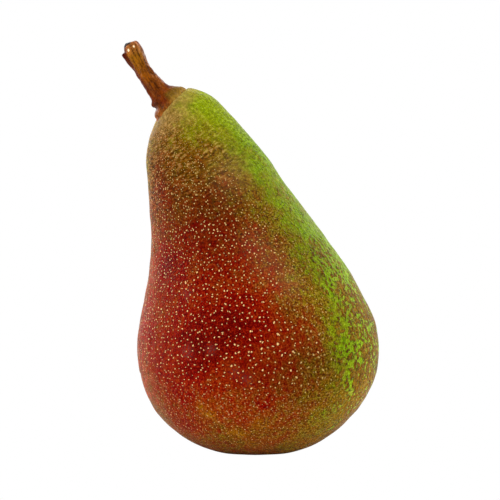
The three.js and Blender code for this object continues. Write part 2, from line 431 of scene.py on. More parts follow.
def add_maps(mesh, points):
    """Unrolls the rings: a map for baking, and one of the widest ring's size, in which specks stay round."""
    rows, sides, _ = points.shape
    across, row = unrolled(mesh, rows, sides)
    steps = np.linalg.norm(np.diff(points, axis=0), axis=2).mean(1)
    climb = np.concatenate([[0], np.cumsum(steps)])
    side_margin = BAKE_MARGIN["across"]
    end_margin = BAKE_MARGIN["along"]
    height = np.concatenate([[0], end_margin + (1 - 2 * end_margin) * climb / climb[-1], [1]])
    places = np.stack([side_margin + (1 - 2 * side_margin) * across, height[row]], 1)
    layer = mesh.uv_layers.new(name="OFBake")
    layer.data.foreach_set("uv", places.astype(np.float32).ravel())
    ring_radius = np.linalg.norm(points - points.mean(1, keepdims=True), axis=2).mean(1)
    widest = ring_radius.max()
    stretch = widest / np.maximum((ring_radius[1:] + ring_radius[:-1]) / 2, NARROWEST * widest)
    rise = np.concatenate([[0], np.cumsum(steps * stretch)])
    rise = np.concatenate([[rise[0]], rise, [rise[-1]]])
    spread = np.stack([across * 2 * np.pi * widest, rise[row], 0 * across], 1) * MM
    layer = mesh.attributes.new("spread", "FLOAT_VECTOR", "CORNER")
    layer.data.foreach_set("vector", spread.astype(np.float32).ravel())


def turns_round(count):
    return np.arange(count) * 2 * np.pi / count


def turns_from_back(count):
    """Turns round a ring, counted from the back so that the seam is there."""
    return np.pi / 2 + turns_round(count)


def turned_away(turn, degrees):
    """How far a turn is from this one, in radians from -pi to pi."""
    return np.arctan2(np.sin(turn - np.radians(degrees)), np.cos(turn - np.radians(degrees)))


def on_coil(radius, turn, along):
    """The points' places on a cylinder, in metres, so that streaks can run along a piece or round it."""
    level = along + 0 * turn
    return np.stack([radius * np.cos(turn) + 0 * level, radius * np.sin(turn) + 0 * level, level], -1) * MM


def make_fruit():
    rows = Line(fruit_outline()).evenly(STEP["fruit"])
    radius = rows[:, :1]
    along = rows[:, 1:]
    turn = turns_from_back(SIDES["fruit"])[None, :]
    wide = radius + fruit_swell(radius, turn, along)
    across = wide * np.cos(turn)
    centre = CORE.at(along[:, 0])[:, None, :]
    tangent = CORE.tangent(along[:, 0])[:, None, :]
    rise = lip(radius, turn, along)
    points = np.stack(
        [
            FOOT_X + centre[..., 0] + across * tangent[..., 1] + rise * tangent[..., 0],
            wide * np.sin(turn),
            centre[..., 1] - across * tangent[..., 0] + rise * tangent[..., 1],
        ],
        -1,
    )
    above_foot = smoothstep(0.2, 8, along) * smoothstep(5, 12, radius)
    uneven = sum(size * waves(points, length, seed) for size, length, seed in SKIN_WAVES)
    points = points + outward(points) * (uneven * above_foot)[..., None]
    front = np.degrees(turned_away(turn, -90)) + 0 * along
    height = along + 0 * turn

    def painted(places):
        return spots(points, rows, places)

    fields = {
        "blush": blush(front, height) + painted(REDDER) - painted(GREENER),
        # Painted shade: the shading of the neck, the left edge and the back, plus the darker patches, less
        # the painted light
        "shade": painted_shade_amount(front, height) + painted(DARKER) - painted(PAINTED_LIGHT),
        "gold": painted(GOLDEN),
        "scuff": painted(SCUFFS),
        "edge_highlight": edge_highlight_mask(front, height),
        "reflection": painted(REFLECTION_PATCHES),
        "bruise": painted(BRUISES),
        "height": height / CORE.total,
        "islands": brown_islands(front, height),
        "coil": on_coil(COIL["fruit"], turn, along),
    }
    return grid_mesh("pear_skin", points, fields)


def fruit_swell(radius, turn, along):
    """How far the fruit is wider than round: its swells, less the dent in its rim."""
    total = 0
    for size, times, peak, place, reach in SWELLS:
        total = total + size * np.cos(times * (turn - np.radians(peak))) * bell(along - place, reach)
    at_rim = bell(CORE.total - along, DENT["reach"]) * smoothstep(SEAT["radius"], RIM["radius"], radius)
    dent = DENT["size"] * bell(turned_away(turn, DENT["turn"]), np.radians(DENT["width"])) * at_rim
    return total * smoothstep(SWELL_START, FOOT["outer"], radius) - dent


def lip(radius, turn, along):
    """How far the fruit's rim rises, along the core line."""
    outside = smoothstep(SEAT["radius"], RIM["radius"], radius) * bell(CORE.total - along, RIM_LIFT_REACH)
    total = 0
    for rise, peak in RIM_LIFTS:
        total = total + rise * np.maximum(0, np.cos(turn - np.radians(peak))) ** 2 * outside
    return total


def spots(points, rows, places):
    """The patches' amounts at the fruit's points, each fading out with the distance from its middle."""
    skin = rows[:, 0] > FOOT["inner"]
    total = 0
    for front, height, reach, amount in places:
        row = np.argmin(np.where(skin, np.abs(rows[:, 1] - height), np.inf))
        side = int(round((front - 180) % 360 / 360 * SIDES["fruit"])) % SIDES["fruit"]
        total = total + amount * bell(np.linalg.norm(points - points[row, side], axis=-1), reach)
    return total


def blush(front, height):
    """How red the skin is, from 0, green, to 1. front is in degrees, positive to the right of the front."""
    climb = height - BLUSH["height"]
    below = BLUSH["foot"] + (BLUSH["peak"] - BLUSH["foot"]) * bell(climb, BLUSH["below"])
    above = BLUSH["neck"] + (BLUSH["peak"] - BLUSH["neck"]) * bell(climb, BLUSH["above"])
    peak = np.where(climb < 0, below, above)
    right = (1 - smoothstep(-22, 92, front)) * (1 - 0.62 * smoothstep(28, 58, front))
    left = smoothstep(-170, -40, front)
    return peak * right * left


def brown_islands(front, height):
    """How much of the green skin brown islands cover: more behind and below, less in a band at the right."""
    behind = (smoothstep(34, 66, front) + smoothstep(-110, -150, front)) * smoothstep(96, 40, height)
    low = smoothstep(34, 4, height)
    band = bell(front - 50, 16) * smoothstep(46, 66, height)
    crown = smoothstep(80, 96, height)
    edge = bell(front - 84, 16) * smoothstep(36, 46, height)
    return 0.2 + 0.34 * behind + 0.32 * low - 0.4 * (band + crown + edge)


def painted_shade_amount(front, height):
    """Painted shade: how much darker the skin is made on the neck's front, beside the left edge, and on the
    green skin behind, for how the light falls there.
    """
    neck = bell(height - 68, 15) * bell(front + 12, 45)
    left = bell(front + 50, 16)
    behind = smoothstep(78, 130, np.abs(front)) * smoothstep(100, 80, height)
    return 0.36 * neck + 0.12 * left + 0.18 * behind


def edge_highlight_mask(front, height):
    """Where highlights, and light and dark streaks, are painted on the skin: down its left side, and on its
    right between the belly and the neck.
    """
    middle = smoothstep(36, 50, height) * smoothstep(84, 58, height)
    return bell(front + 74, 22) + bell(front - 80, 20) * middle


def make_stem():
    top = np.array([TOP["x"], TOP["z"]])
    root = CORE.at(CORE.total - STEM_ROOT)
    middle = top - leaning(TOP["lean"]) * STEM_ROOT / 2
    above = top + leaning(TOP["lean"]) * STEM_HANDLES["rim"]
    tip = np.array([STEM_TIP["x"], STEM_TIP["z"]])
    below = tip - leaning(STEM_TIP["lean"]) * STEM_HANDLES["tip"]

    def placed(point, y):
        return [FOOT_X + point[0], y, point[1]]

    line = Line(
        chain(
            bezier(placed(root, 0), placed(middle, 0), placed(top, 0)),
            bezier(
                placed(top, 0),
                placed(above, 0),
                placed(below, STEM_TIP["y"]),
                placed(tip, STEM_TIP["y"]),
            ),
        )
    )
    rows = Line(stem_outline()).evenly(STEP["stem"])
    radius = rows[:, :1]
    above_rim = rows[:, 1:]
    along = np.clip((above_rim + STEM_ROOT) * line.total / (STEM_CAP["above"] + STEM_ROOT), 0, line.total)
    turn = turns_from_back(SIDES["stem"])[None, :]
    buried = STEM_FOOT["above"]
    free = smoothstep(buried, buried / 2, above_rim) * np.minimum(1, radius / STEM_CAP["radius"])
    wide = radius + free * stem_relief(turn, above_rim)
    centre = line.at(along[:, 0])[:, None, :]
    tangent = line.tangent(along[:, 0])[:, None, :]
    back = np.array([0, 1, 0]) - tangent * tangent[..., 1:2]
    back = back / np.linalg.norm(back, axis=-1, keepdims=True)
    right = np.cross(back, tangent)
    points = centre + right * (wide * np.cos(turn))[..., None] + back * (wide * np.sin(turn))[..., None]
    uneven = STEM_WAVES["height"] * waves(points, STEM_WAVES["length"], STEM_WAVES["seed"])
    points = points + outward(points) * (free * uneven)[..., None]
    scar_turn = np.radians(STEM_SCAR["turn"])
    scar = points[-1].mean(0) + right[-1, 0] * np.cos(scar_turn) + back[-1, 0] * np.sin(scar_turn)
    fields = {
        "above": above_rim / STEM_CAP["above"] + 0 * turn,
        "side": np.cos(turn) + 0 * radius,
        "scar": bell(np.linalg.norm(points - scar, axis=-1), STEM_SCAR["reach"]),
        "flake": stem_flake(turn, above_rim),
        "glint": stem_glints(turn, above_rim),
        "coil": on_coil(COIL["stem"], turn, along),
    }
    return grid_mesh("pear_stem", points, fields)


def stem_outline():
    """The stem's radius and height above the fruit's rim, from its buried foot up to its end."""
    sizes = [STEM_FOOT, STEM_FLARE, STEM_NECK, STEM_KNOB, STEM_CAP]
    foot, flare, neck, knob, cap = [np.array([size["radius"], size["above"]]) for size in sizes]
    return chain(
        bezier([0.2, foot[1]], foot),
        bezier(foot, foot + [-1.3, 1.8], flare + [0.15, -1.8], flare),
        bezier(flare, flare + [-0.15, 1.8], neck + [0, -2.5], neck),
        bezier(neck, neck + [0, 1.6], knob + [0, -1.6], knob),
        bezier(knob, knob + [0, 1.7], cap + [0.9, -0.15], cap),
        bezier(cap, [0.15, cap[1] + 0.1]),
    )


def stem_flake(turn, above):
    """A thin scale of bark that peels away upwards and ends in a torn edge."""
    part = STEM_FLAKE
    peel = np.clip((above - part["from"]) / (part["tip"] - part["from"]), 0, 1)
    torn = 1 - smoothstep(part["tip"], part["end"], above)
    return peel * torn * bell(turned_away(turn, part["turn"]), np.radians(part["width"]))


def stem_glints(turn, above):
    """Painted highlights: two pale glints near the stem's end, longer along it than across."""
    total = 0
    for peak, place, reach in STEM_GLINTS:
        across = turned_away(turn, peak) * STEM_KNOB["radius"]
        total = total + bell(np.hypot(across, (above - place) * 0.7), reach)
    return total


def stem_relief(turn, above):
    """How far the stem is wider than its outline: ridges, the peeling scale and bumps."""
    relief = STEM_FLAKE["size"] * stem_flake(turn, above)
    for size, count, twist, start in STEM_RIDGES:
        relief = relief + size * np.cos(count * (turn + twist * above) + start)
    for size, peak, width, place, reach in STEM_BUMPS:
        relief = relief + size * bell(turned_away(turn, peak), np.radians(width)) * bell(above - place, reach)
    return relief


def make_calyx():
    """The button, the sepals and the threads as one mesh, with a value along each that its colour follows."""
    rng = np.random.default_rng(CALYX_SEED)
    grids = []
    shares = []

    def put(grid, start, end):
        grids.append(grid + [FOOT_X, 0, 0])
        shares.append(np.linspace(start, end, len(grid))[:, None] + np.zeros(grid.shape[:2]))

    put(button(), 0, 0)
    for i in range(SEPAL["count"]):
        put(sepal(360 * i / SEPAL["count"], rng), 0, 1)
    for i in range(THREADS["count"]):
        put(thread(360 * i / THREADS["count"], rng), 0.4, 0.7)
    return rings_mesh("pear_calyx", grids, {"share": shares})


def button():
    """The round base that the sepals grow from, with a low rim under it."""
    wide = BUTTON["radius"]
    top = BUTTON["top"]
    foot = BUTTON["foot"]
    outline = chain(
        bezier([0.2, foot + 0.3], [wide * 0.4, foot + 0.4], [wide * 0.7, foot], count=10),
        bezier([wide * 0.7, foot], [wide, foot], [wide, (top + foot) / 2], count=8),
        bezier([wide, (top + foot) / 2], [wide, top], [wide * 0.8, top], count=6),
        bezier([wide * 0.8, top], [0.2, top], count=4),
    )
    turn = turns_round(40)
    radius = outline[:, :1] * (1 + 0.04 * np.cos(9 * turn + 1) * outline[:, :1] / wide)
    return np.stack([radius * np.cos(turn), radius * np.sin(turn), outline[:, 1:] + 0 * turn], -1)


def sepal(degrees, rng):
    """A dried blade that curls outwards as it comes down, with a channel along it and a wavy edge."""
    share = np.linspace(0, 1, 30)[:, None]
    tilt = np.radians(SEPAL["tilt"] + rng.uniform(-5, 5))
    curl = np.radians(SEPAL["curl"] + rng.uniform(-8, 14))
    bend = SEPAL["length"] * rng.uniform(0.92, 1.04) / curl
    angle = tilt + curl * share
    out = SEPAL["start"] + bend * (np.cos(tilt) - np.cos(angle))
    level = (BUTTON["top"] + BUTTON["foot"]) / 2 - bend * (np.sin(angle) - np.sin(tilt))
    wave = 1 + 0.07 * np.sin(9 * share + rng.uniform(0, 6)) + 0.04 * np.sin(21 * share + rng.uniform(0, 6))
    half = SEPAL["width"] / 2 * (1 - 0.88 * share**1.5) * wave
    thick = SEPAL["thickness"] / 2 * (1 - 0.6 * share)
    turn = turns_round(28)
    across = half * np.cos(turn)
    twist = rng.uniform(-0.35, 0.35) * share
    channel = half * (0.45 * np.cos(turn) ** 2 + 0.05 * np.cos(4 * turn))
    lift = thick * np.sin(turn) + channel + across * twist
    grid = np.stack([out - lift * np.cos(angle), across + 0.3 * twist, level - lift * np.sin(angle)], -1)
    return turned_about(grid, degrees + rng.uniform(-7, 7))


def thread(degrees, rng):
    """A dried stamen: a bent thread with a small head."""
    share = np.linspace(0, 1, 12)[:, None]
    length = THREADS["length"] * rng.uniform(0.7, 1.15)
    start = THREADS["ring"] * rng.uniform(0.5, 1.2)
    bow = rng.uniform(-0.5, 1.0)
    out = start + bow * share**2 + 0.25 * np.sin(4 * share + rng.uniform(0, 6))
    sideways = rng.uniform(-0.8, 0.8) * share**2
    level = BUTTON["foot"] + 0.3 - length * share
    radius = THREADS["radius"] * (1 - 0.3 * share) + THREADS["head"] * bell(share - 0.93, 0.07)
    turn = turns_round(8)
    grid = np.stack([out + radius * np.cos(turn), sideways - radius * np.sin(turn), level + 0 * turn], -1)
    return turned_about(grid, degrees + rng.uniform(-9, 9))


def turned_about(grid, degrees):
    angle = np.radians(degrees)
    x, y, z = np.moveaxis(grid, -1, 0)
    return np.stack([x * np.cos(angle) - y * np.sin(angle), x * np.sin(angle) + y * np.cos(angle), z], -1)


def srgb(red, green, blue):
    """A display colour, 0 to 255, as the linear colour that a shader takes."""
    share = np.array([red, green, blue]) / 255
    linear = np.where(share <= 0.04045, share / 12.92, ((share + 0.055) / 1.055) ** 2.4)
    return (*linear.tolist(), 1.0)


# The skin's ground from green to red, the light parts of its mottle, which partly paint highlights on its
# bumps, and its lenticels
GROUND_COLOURS = [
    (0.0, srgb(116, 144, 0)),
    (0.1, srgb(118, 130, 1)),
    (0.22, srgb(120, 104, 4)),
    (0.36, srgb(124, 84, 4)),
    (0.54, srgb(132, 60, 3)),
    (0.7, srgb(142, 40, 0)),
    (0.86, srgb(138, 9, 0)),
    (1.0, srgb(112, 1, 0)),
]
MOTTLE_AND_HIGHLIGHT_COLOURS = [(0.0, srgb(198, 204, 96)), (0.4, srgb(196, 162, 106)), (0.8, srgb(178, 82, 22))]
SPECK_COLOURS = [(0.0, srgb(160, 150, 70)), (0.4, srgb(212, 176, 100)), (0.8, srgb(252, 206, 138))]
SPECK_RING = srgb(90, 30, 10)

# What lies on the skin's ground
# A lime crown on the green side, partly painted light on the top's right
LIT_GREEN_CROWN = srgb(148, 158, 4)
RUSSET = srgb(178, 144, 68)
BROWN_FOOT = srgb(156, 78, 10)
GOLD = srgb(164, 118, 2)
DARK_ISLAND = srgb(140, 85, 12)
LIGHT_ISLAND = srgb(152, 108, 24)
# Painted highlight on the islands' brims
ISLAND_BRIM_HIGHLIGHT = srgb(188, 194, 76)
# Painted highlights at the skin's edges: pale flecks on the red and on the green
HIGHLIGHT_ON_RED = srgb(220, 150, 112)
HIGHLIGHT_ON_GREEN = srgb(196, 214, 112)
SCUFF = srgb(138, 88, 78)
# The tint of the painted reflections
REFLECTION_TINT = srgb(176, 124, 96)
BRUISE = srgb(44, 22, 8)

# The stem from its foot to its end, and what lies on it
BARK_COLOURS = [
    (0.0, srgb(140, 78, 20)),
    (0.05, srgb(124, 60, 8)),
    # Painted shade: this dark band lies in the crease just above the fruit's rim
    (0.09, srgb(88, 30, 0)),
    (0.15, srgb(112, 46, 0)),
    (0.3, srgb(122, 58, 0)),
    (0.55, srgb(132, 70, 2)),
    (0.8, srgb(138, 86, 6)),
    # The end is lighter, partly painted highlight
    (0.97, srgb(176, 104, 46)),
]
LIGHT_FIBRE = srgb(172, 112, 50)
DARK_FIBRE = srgb(52, 16, 0)
# Painted shade down the stem's left and right sides
EDGE_SHADE = srgb(80, 20, 0)
# Silvery bark along the stem's right, partly a painted grey sheen
SILVER_BARK_AND_SHEEN = srgb(160, 122, 92)
UPPER_COLLAR = srgb(108, 76, 10)
LOWER_COLLAR = srgb(158, 122, 46)
FLAKE = srgb(70, 14, 4)
# The colour of the painted glints
GLINT_COLOUR = srgb(255, 226, 180)
SCAR = srgb(10, 6, 4)

# The calyx from its middle to the sepals' tips, and the crests of its wrinkles
CALYX_COLOURS = [
    (0.0, srgb(84, 58, 22)),
    (0.3, srgb(104, 70, 30)),
    (0.6, srgb(70, 42, 18)),
    (0.95, srgb(34, 20, 10)),
]
WRINKLE_CREST = srgb(142, 106, 58)


class Graph:
    """The node tree of a material or a world, built by small calls that give back an output."""

    def __init__(self, owner):
        self.owner = owner
        owner.use_nodes = True
        self.tree = owner.node_tree
        self.tree.nodes.clear()

    def add(self, kind, inputs=None, **settings):
        node = self.tree.nodes.new("ShaderNode" + kind)
        for key, value in settings.items():
            setattr(node, key, value)
        for key, value in (inputs or {}).items():
            self.put(node.inputs[key], value)
        return node

    def put(self, socket, value):
        if isinstance(value, bpy.types.NodeSocket):
            self.tree.links.new(value, socket)
        else:
            socket.default_value = value

    def math(self, operation, a, b=0.0):
        return self.add("Math", {0: a, 1: b}, operation=operation).outputs[0]

    def ahead(self, value, times, plus):
        """The value times one number, plus another."""
        return self.add("Math", {0: value, 1: times, 2: plus}, operation="MULTIPLY_ADD").outputs[0]

    def total(self, *values):
        result = values[0]
        for value in values[1:]:
            result = self.math("ADD", result, value)
        return result

    def times(self, *values):
        result = values[0]
        for value in values[1:]:
            result = self.math("MULTIPLY", result, value)
        return result

    def weighted(self, *pairs):
        """The sum of values, each times its own weight."""
        return self.total(*[self.times(value, weight) for value, weight in pairs])

    def smooth(self, value, low, high):
        """0 at low and 1 at high, with a soft run between them."""
        inputs = {"Value": value, "From Min": low, "From Max": high}
        return self.add("MapRange", inputs, interpolation_type="SMOOTHSTEP").outputs[0]

    def between(self, factor, a, b):
        """The number a where the factor is 0 and b where it is 1."""
        return self.add("Mix", {0: factor, 2: a, 3: b}, data_type="FLOAT").outputs[0]

    def mix(self, factor, a, b, blend="MIX"):
        """The same for colours."""
        node = self.add("Mix", {0: factor, 6: a, 7: b}, data_type="RGBA", blend_type=blend)
        return node.outputs[2]

    def ramp(self, value, stops):
        node = self.add("ValToRGB", {0: value})
        elements = node.color_ramp.elements
        while len(elements) < len(stops):
            elements.new(0.5)
        for element, (place, colour) in zip(elements, stops):
            element.position = place
            element.color = colour
        return node.outputs[0]

    def field(self, name, output="Fac"):
        return self.add("Attribute", attribute_name=name).outputs[output]

    def place(self):
        return self.add("TexCoord").outputs["Object"]

    def stretched(self, vector, x, y, z):
        return self.add("Mapping", {0: vector, "Scale": (x, y, z)}).outputs[0]

    def uneven(self, vector, size, detail=2.0, roughness=0.5):
        """Clouds of this size in millimetres, as values about 0, mostly between -0.5 and 0.5."""
        inputs = {"Vector": vector, "Scale": 1 / (size * MM), "Detail": detail, "Roughness": roughness}
        return self.ahead(self.add("TexNoise", inputs).outputs[0], 2.6, -1.3)

    def shaken(self, vector, size, amount):
        """The vector moved about by clouds of this size, by up to this amount, both in millimetres."""
        noise = self.add("TexNoise", {"Vector": vector, "Scale": 1 / (size * MM), "Detail": 1.0})
        about = self.add("VectorMath", {0: noise.outputs["Color"], 1: (0.5, 0.5, 0.5)}, operation="SUBTRACT")
        inputs = {0: about.outputs[0], 1: (2 * amount * MM,) * 3, 2: vector}
        return self.add("VectorMath", inputs, operation="MULTIPLY_ADD").outputs[0]

    def cells(self, vector, size):
        """Flat cells of this size in millimetres: how far off their middles are, and their random numbers."""
        inputs = {"Vector": vector, "Scale": 1 / (size * MM), "Randomness": 0.9}
        middle = self.add("TexVoronoi", inputs, voronoi_dimensions="2D")
        own = self.add("SeparateColor", {0: middle.outputs["Color"]})
        return self.times(middle.outputs["Distance"], size), own.outputs

    def scaled(self, colour, factor):
        return self.add("VectorMath", {0: colour, "Scale": factor}, operation="SCALE").outputs[0]

    def finish(self, colour, roughness, height, depth, **plain):
        """The material, of a colour, a roughness, relief of this depth in millimetres and plain values."""
        bump = self.add("Bump", {"Height": height, "Distance": depth * MM, "Strength": 1.0})
        inputs = {"Base Color": colour, "Roughness": roughness, "Normal": bump.outputs[0]}
        shader = self.add("BsdfPrincipled", inputs)
        for key, value in plain.items():
            shader.inputs[key.replace("_", " ")].default_value = value
        output = self.add("OutputMaterial", {"Surface": shader.outputs[0]})
        output.is_active_output = True
        return self.owner


def lenticels(g, vector, size, radius):
    """Specks in the cells of a map, dark rings and wide halos round them, and two random numbers a cell."""
    away, own = g.cells(g.shaken(vector, SPECK_SHAKE["size"], SPECK_SHAKE["amount"]), size)
    share = g.math("DIVIDE", away, g.times(g.ahead(own[0], 0.4, 0.8), radius))
    halo = g.smooth(away, 0.6 * size, 0.05 * size)
    return [g.smooth(share, 1.35, 0.65), g.smooth(share, 2.4, 1.2), halo, own[1], own[2]]


def seamless(g, size, radius):
    """Lenticels all round the fruit: at the back, one map's fade into those of the map turned half round."""
    spread = g.field("spread", "Vector")
    axes = g.add("SeparateXYZ", {0: spread}).outputs
    width = 2 * np.pi * BELLY["radius"] * MM
    turned = g.times(g.math("FRACT", g.ahead(axes[0], 1 / width, 0.5)), width)
    other = g.add("CombineXYZ", {0: turned, 1: axes[1], 2: 0.05}).outputs[0]
    depth = g.add("SeparateXYZ", {0: g.field("coil", "Vector")}).outputs[1]
    back = g.smooth(depth, SEAM_FADE["from"] * MM, SEAM_FADE["to"] * MM)
    pairs = zip(lenticels(g, spread, size, radius), lenticels(g, other, size, radius))
    return [g.between(back, a, b) for a, b in pairs]


def skin_noise(g):
    """The unevenness that the skin's layers share, from wide clouds to fine grain, and its streaks."""
    place = g.place()
    coil = g.field("coil", "Vector")
    return SimpleNamespace(
        clouds=g.uneven(place, 13, 3),
        patches=g.uneven(place, 4.2, 3, 0.6),
        blots=g.uneven(place, 1.7, 2, 0.6),
        bumps=g.uneven(place, 1.15, 1.5, 0.5),
        grain=g.uneven(place, 0.45, 2, 0.6),
        streaks=g.uneven(g.stretched(coil, 1, 1, 0.4), 1.2, 2, 0.6),
        hatch=g.uneven(g.stretched(coil, 0.2, 0.2, 1), 0.6, 2, 0.6),
    )


def skin_red(g, noise, height):
    """How red the skin is: the blush, made uneven, and less so on the neck, the green and the deepest red."""
    blushed = g.field("blush")
    even_neck = g.ahead(g.smooth(height, 0.62, 0.82), -0.5, 1.0)
    even_green = g.ahead(g.smooth(blushed, 0.1, 0.45), 0.6, 0.4)
    even_red = g.ahead(g.smooth(blushed, 0.6, 0.9), -0.35, 1.0)
    speckle = g.weighted((noise.blots, 0.22), (noise.grain, 0.2), (noise.streaks, 0.15))
    return g.total(
        blushed,
        g.times(noise.clouds, 0.2),
        g.times(noise.patches, 0.2, even_neck),
        g.times(speckle, even_neck, even_green, even_red),
    )


def skin_specks(g, height, red):
    """The lenticels, their rings and halos, and a random number for each.

    They are large on the red belly and the neck, fine and dim at the foot and on the green side. The map
    shows the neck too wide, so its specks are made larger on it.
    """
    growth = g.times(
        g.ahead(g.smooth(height, 0.4, 0.8), 0.5, 1.0),
        g.ahead(g.smooth(red, 0.15, 0.5), 0.3, 0.7),
        g.ahead(g.smooth(height, 0.34, 0.16), -0.2, 1.0),
    )
    bold_radius = g.times(growth, BOLD_SPECKS["radius"])
    fine_radius = g.times(growth, FINE_SPECKS["radius"])
    speck, ring, halo, own, other = seamless(g, BOLD_SPECKS["cell"], bold_radius)
    fine, fine_ring, _, _, fine_other = seamless(g, FINE_SPECKS["cell"], fine_radius)
    bold_red = g.total(red, g.times(g.smooth(height, 0.48, 0.65), 0.2))
    bold = g.times(g.smooth(bold_red, 0.28, 0.56), g.smooth(height, 0.08, 0.26), g.smooth(height, 0.97, 0.84))
    faint = g.math("SUBTRACT", 1.0, bold)

    # The random numbers leave some out, and more of them on the neck
    fewer = g.times(g.smooth(height, 0.4, 0.75), 0.45)
    kept = g.smooth(g.math("SUBTRACT", other, fewer), -0.2, 0.25)
    fine_kept = g.times(g.smooth(fine_other, -0.3, 0.7), g.smooth(red, 0.0, 0.3))
    specks = g.math("MAXIMUM", g.times(speck, bold, kept), g.times(fine, faint, fine_kept))
    rings = g.math("MAXIMUM", g.times(ring, bold), g.times(fine_ring, faint, 0.5))
    return specks, rings, halo, own


def skin_islands(g, noise, halo, own, green_side):
    """Brown islands on the green side, ragged blots round the lenticels, and painted highlights on their
    brims.
    """
    spread = g.field("islands")
    cover = g.weighted((halo, 0.35), (own, 0.3), (noise.clouds, 0.15), (noise.patches, 0.3))
    ragged = g.weighted((noise.blots, 0.3), (noise.bumps, 0.55), (noise.grain, 0.2))
    inside = g.total(spread, cover, ragged, -0.71)
    island = g.times(g.smooth(inside, -0.1, 0.1), green_side)
    brim_highlight = g.times(g.smooth(inside, -0.3, -0.12), g.smooth(inside, 0.02, -0.12), green_side)
    return island, g.times(brim_highlight, g.smooth(spread, 0.3, 0.8), 0.45)


def skin_tone(g, noise, height, neck, green_side, island):
    """How light the skin is: a fine mottle, and on the green side also light ground and dark islands."""
    mottle = g.smooth(g.between(neck, noise.grain, noise.hatch), 0.6, -0.6)
    netted = g.times(green_side, g.ahead(g.smooth(height, 0.75, 0.4), 0.45, 0.35))
    net = g.total(g.weighted((island, -0.24), (mottle, 0.5), (noise.bumps, -0.4)), 0.34)
    return g.between(netted, mottle, net)


def skin_ground(g, noise, height, red, green_side, russet):
    """The colour from green to red, with a green crown, partly painted light on the top's right, russet at
    the stem, a brown foot and gold streaks.
    """
    base = g.ramp(red, GROUND_COLOURS)
    # The lime crown, partly painted light on the top's right
    base = g.mix(g.times(g.smooth(height, 0.8, 0.93), green_side, 0.6), base, LIT_GREEN_CROWN)
    base = g.mix(g.times(russet, 0.8), base, RUSSET)
    foot = g.times(g.smooth(height, 0.12, 0.0), g.smooth(noise.clouds, -0.5, 0.5))
    base = g.mix(g.times(foot, 0.7), base, BROWN_FOOT)
    return g.mix(g.times(g.field("gold"), g.smooth(noise.blots, -0.5, 0.4)), base, GOLD)


def skin_material():
    g = Graph(bpy.data.materials.new("skin"))
    noise = skin_noise(g)
    height = g.field("height")
    neck = g.smooth(height, 0.6, 0.88)
    red = skin_red(g, noise, height)
    green_side = g.smooth(red, 0.4, 0.1)
    patchy = g.times(g.smooth(noise.patches, -0.8, 0.3), g.smooth(red, -0.05, 0.25))
    rim = g.times(g.smooth(height, 0.972, 1.0), 0.75)
    russet = g.math("MAXIMUM", g.times(g.smooth(height, 0.91, 1.0), patchy), rim)
    specks, rings, halo, own = skin_specks(g, height, red)
    island, brim_highlight = skin_islands(g, noise, halo, own, green_side)
    tone = skin_tone(g, noise, height, neck, green_side, island)
    base = skin_ground(g, noise, height, red, green_side, russet)

    # The islands and the painted highlights on their brims, the rings round the specks, and the light parts
    # of the mottle, partly painted highlights
    island_colour = g.mix(g.smooth(noise.patches, -0.4, 0.4), DARK_ISLAND, LIGHT_ISLAND)
    base = g.mix(g.times(island, g.ahead(g.smooth(height, 0.45, 0.65), -0.3, 0.9)), base, island_colour)
    base = g.mix(brim_highlight, base, ISLAND_BRIM_HIGHLIGHT)
    base = g.mix(g.times(rings, 0.5), base, SPECK_RING, "MULTIPLY")
    light_share = g.total(g.times(red, 0.1), g.times(neck, g.ahead(green_side, -0.16, 0.22)), 0.06)
    base = g.mix(g.times(g.smooth(tone, 0.6, 1.0), light_share), base, g.ramp(red, MOTTLE_AND_HIGHLIGHT_COLOURS))

    # Painted highlights: pale flecks, and painted light and shade as streaks, down the skin's edges
    edge_highlight = g.field("edge_highlight")
    highlight_pattern = g.smooth(g.total(noise.streaks, noise.grain), 0.0, 0.6)
    highlight_share = g.times(edge_highlight, highlight_pattern, g.ahead(green_side, 0.16, 0.16))
    base = g.mix(highlight_share, base, g.mix(green_side, HIGHLIGHT_ON_RED, HIGHLIGHT_ON_GREEN))
    streaked = g.total(noise.streaks, noise.blots, noise.grain)
    streaks = g.times(streaked, edge_highlight, g.ahead(green_side, -0.1, 0.5))

    # The mottle's contrast is lower on the red, at the top, in the russet and on the green of the neck
    contrast = g.times(
        g.ahead(g.smooth(red, 0.3, 0.85), -0.65, 1.45),
        g.ahead(g.smooth(height, 0.75, 0.92), -0.25, 1.0),
        g.ahead(russet, -0.5, 1.0),
        g.ahead(g.times(green_side, g.smooth(height, 0.55, 0.8)), -0.35, 1.0),
    )
    # The lightness takes in the painted light and shade of the edge streaks
    light = g.total(g.times(g.math("SUBTRACT", tone, 0.5), contrast), 0.87, streaks)
    # The painted shade darkens the skin here, and the painted light lightens it
    base = g.scaled(base, g.times(light, g.math("SUBTRACT", 1.0, g.field("shade"))))

    # Scuffs, painted reflections as pale veils, the specks and the bruises lie on top
    base = g.mix(g.times(g.field("scuff"), g.smooth(noise.grain, -0.2, 0.4)), base, SCUFF)
    base = g.mix(g.times(g.field("reflection"), g.ahead(noise.grain, 0.8, 1.0)), base, REFLECTION_TINT)
    base = g.mix(g.times(specks, 0.9), base, g.ramp(red, SPECK_COLOURS))
    colour = g.mix(g.field("bruise"), base, BRUISE)
    relief = g.weighted(
        (specks, 0.6),
        (island, 2.0),
        (g.times(halo, green_side), 0.8),
        (noise.blots, 0.7),
        (g.times(noise.bumps, green_side), 1.2),
        (noise.grain, 0.9),
        (noise.streaks, 0.3),
    )
    sheen = {"Sheen_Weight": 0.03, "Sheen_Roughness": 0.28, "Sheen_Tint": (1.0, 0.9, 0.8, 1.0)}
    return g.finish(colour, g.ahead(noise.patches, 0.08, 0.4), relief, 0.2, Specular_IOR_Level=0.009, **sheen)


